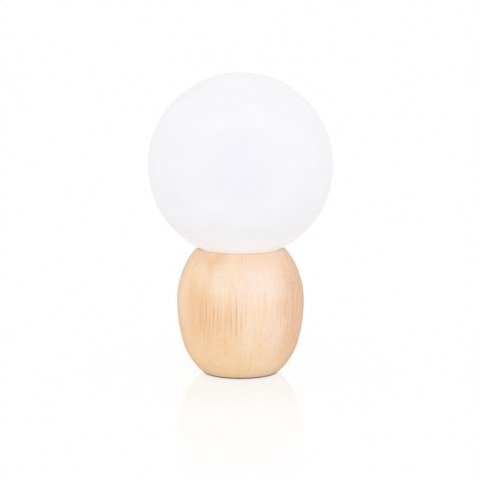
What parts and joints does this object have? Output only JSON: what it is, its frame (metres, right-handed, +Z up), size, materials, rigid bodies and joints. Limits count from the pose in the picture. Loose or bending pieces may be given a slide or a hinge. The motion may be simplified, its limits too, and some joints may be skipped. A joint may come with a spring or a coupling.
{
  "type": "table lamp",
  "caption": "Table lamp with a matt opal glass globe that sits in the top of a barrel-shaped turned wooden base, over a small screw lampholder and bulb.",
  "frame": {"origin": "middle of the felt underside, where the lamp stands", "axes": "+Z up along the turned axis, +Y to the back, where the cord bush is, +X to the right seen from the front"},
  "size_m": [0.15, 0.15, 0.245],
  "materials": {
    "turned_wood": "satin",
    "brown_felt": "felt",
    "weight_steel": "blackened",
    "zinc_steel": "zinc plated",
    "yellow_brass": "plain",
    "cup_steel": "satin",
    "spring_steel": "bright",
    "seat_rubber": "matt",
    "opal_glass": "satin opal",
    "holder_plastic": "matt",
    "carrier_ceramic": "glazed",
    "bulb_metal": "satin",
    "bulb_black": "gloss",
    "bulb_plastic": "satin",
    "bulb_opal": "satin",
    "board_white": "satin",
    "chip_yellow": "gloss",
    "board_green": "satin",
    "bush_plastic": "matt",
    "block_plastic": "matt",
    "brown_sheath": "satin",
    "blue_sheath": "satin"
  },
  "bodies": {
    "base": {"wood_base": "turned_wood", "felt_pad": "brown_felt", "weight_plate": "weight_steel", "weight_screw_set": "zinc_steel", "threaded_tube": "yellow_brass", "base_washer": "zinc_steel", "base_nut": "yellow_brass", "spring_cup": "cup_steel", "leaf_springs": "spring_steel", "leaf_rivets": "zinc_steel", "lock_washer": "zinc_steel", "cup_nut": "yellow_brass", "seat_ring": "seat_rubber", "holder_cap": "holder_plastic", "holder_shell": "holder_plastic", "contact_carrier": "carrier_ceramic", "middle_contact": "yellow_brass", "side_contact": "yellow_brass", "terminal_screws": "zinc_steel", "grub_screw": "zinc_steel", "cord_bush": "bush_plastic", "terminal_block": "block_plastic", "block_sleeves": "yellow_brass", "block_screws": "zinc_steel", "block_fixing_screw": "zinc_steel", "live_wire": "brown_sheath", "neutral_wire": "blue_sheath"},
    "globe": {"glass_globe": "opal_glass"},
    "bulb_rider": {"bulb_button": "bulb_metal"},
    "bulb": {"bulb_insulator": "bulb_black", "bulb_screw_cap": "bulb_metal", "bulb_housing": "bulb_plastic", "bulb_dome": "bulb_opal", "light_board": "board_white", "light_chips": "chip_yellow", "driver_board": "board_green"}
  },
  "joints": [
    {"name": "globe_lift", "type": "slide", "parent": "base", "child": "globe", "axis": [0, 0, 1], "range_m": [0, 0.125]},
    {"name": "bulb_rise", "type": "slide", "parent": "base", "child": "bulb_rider", "axis": [0, 0, 1], "range_m": [0, 0.0113]},
    {"name": "bulb_turn", "type": "hinge", "parent": "bulb_rider", "child": "bulb", "pos_m": [0, 0, 0.14], "axis": [0, 0, 1], "range_deg": [0, 1440]}
  ],
  "couplings": [
    {"joint": "bulb_rise", "follows": "bulb_turn", "m_per_rad": 0.00044913}
  ]
}
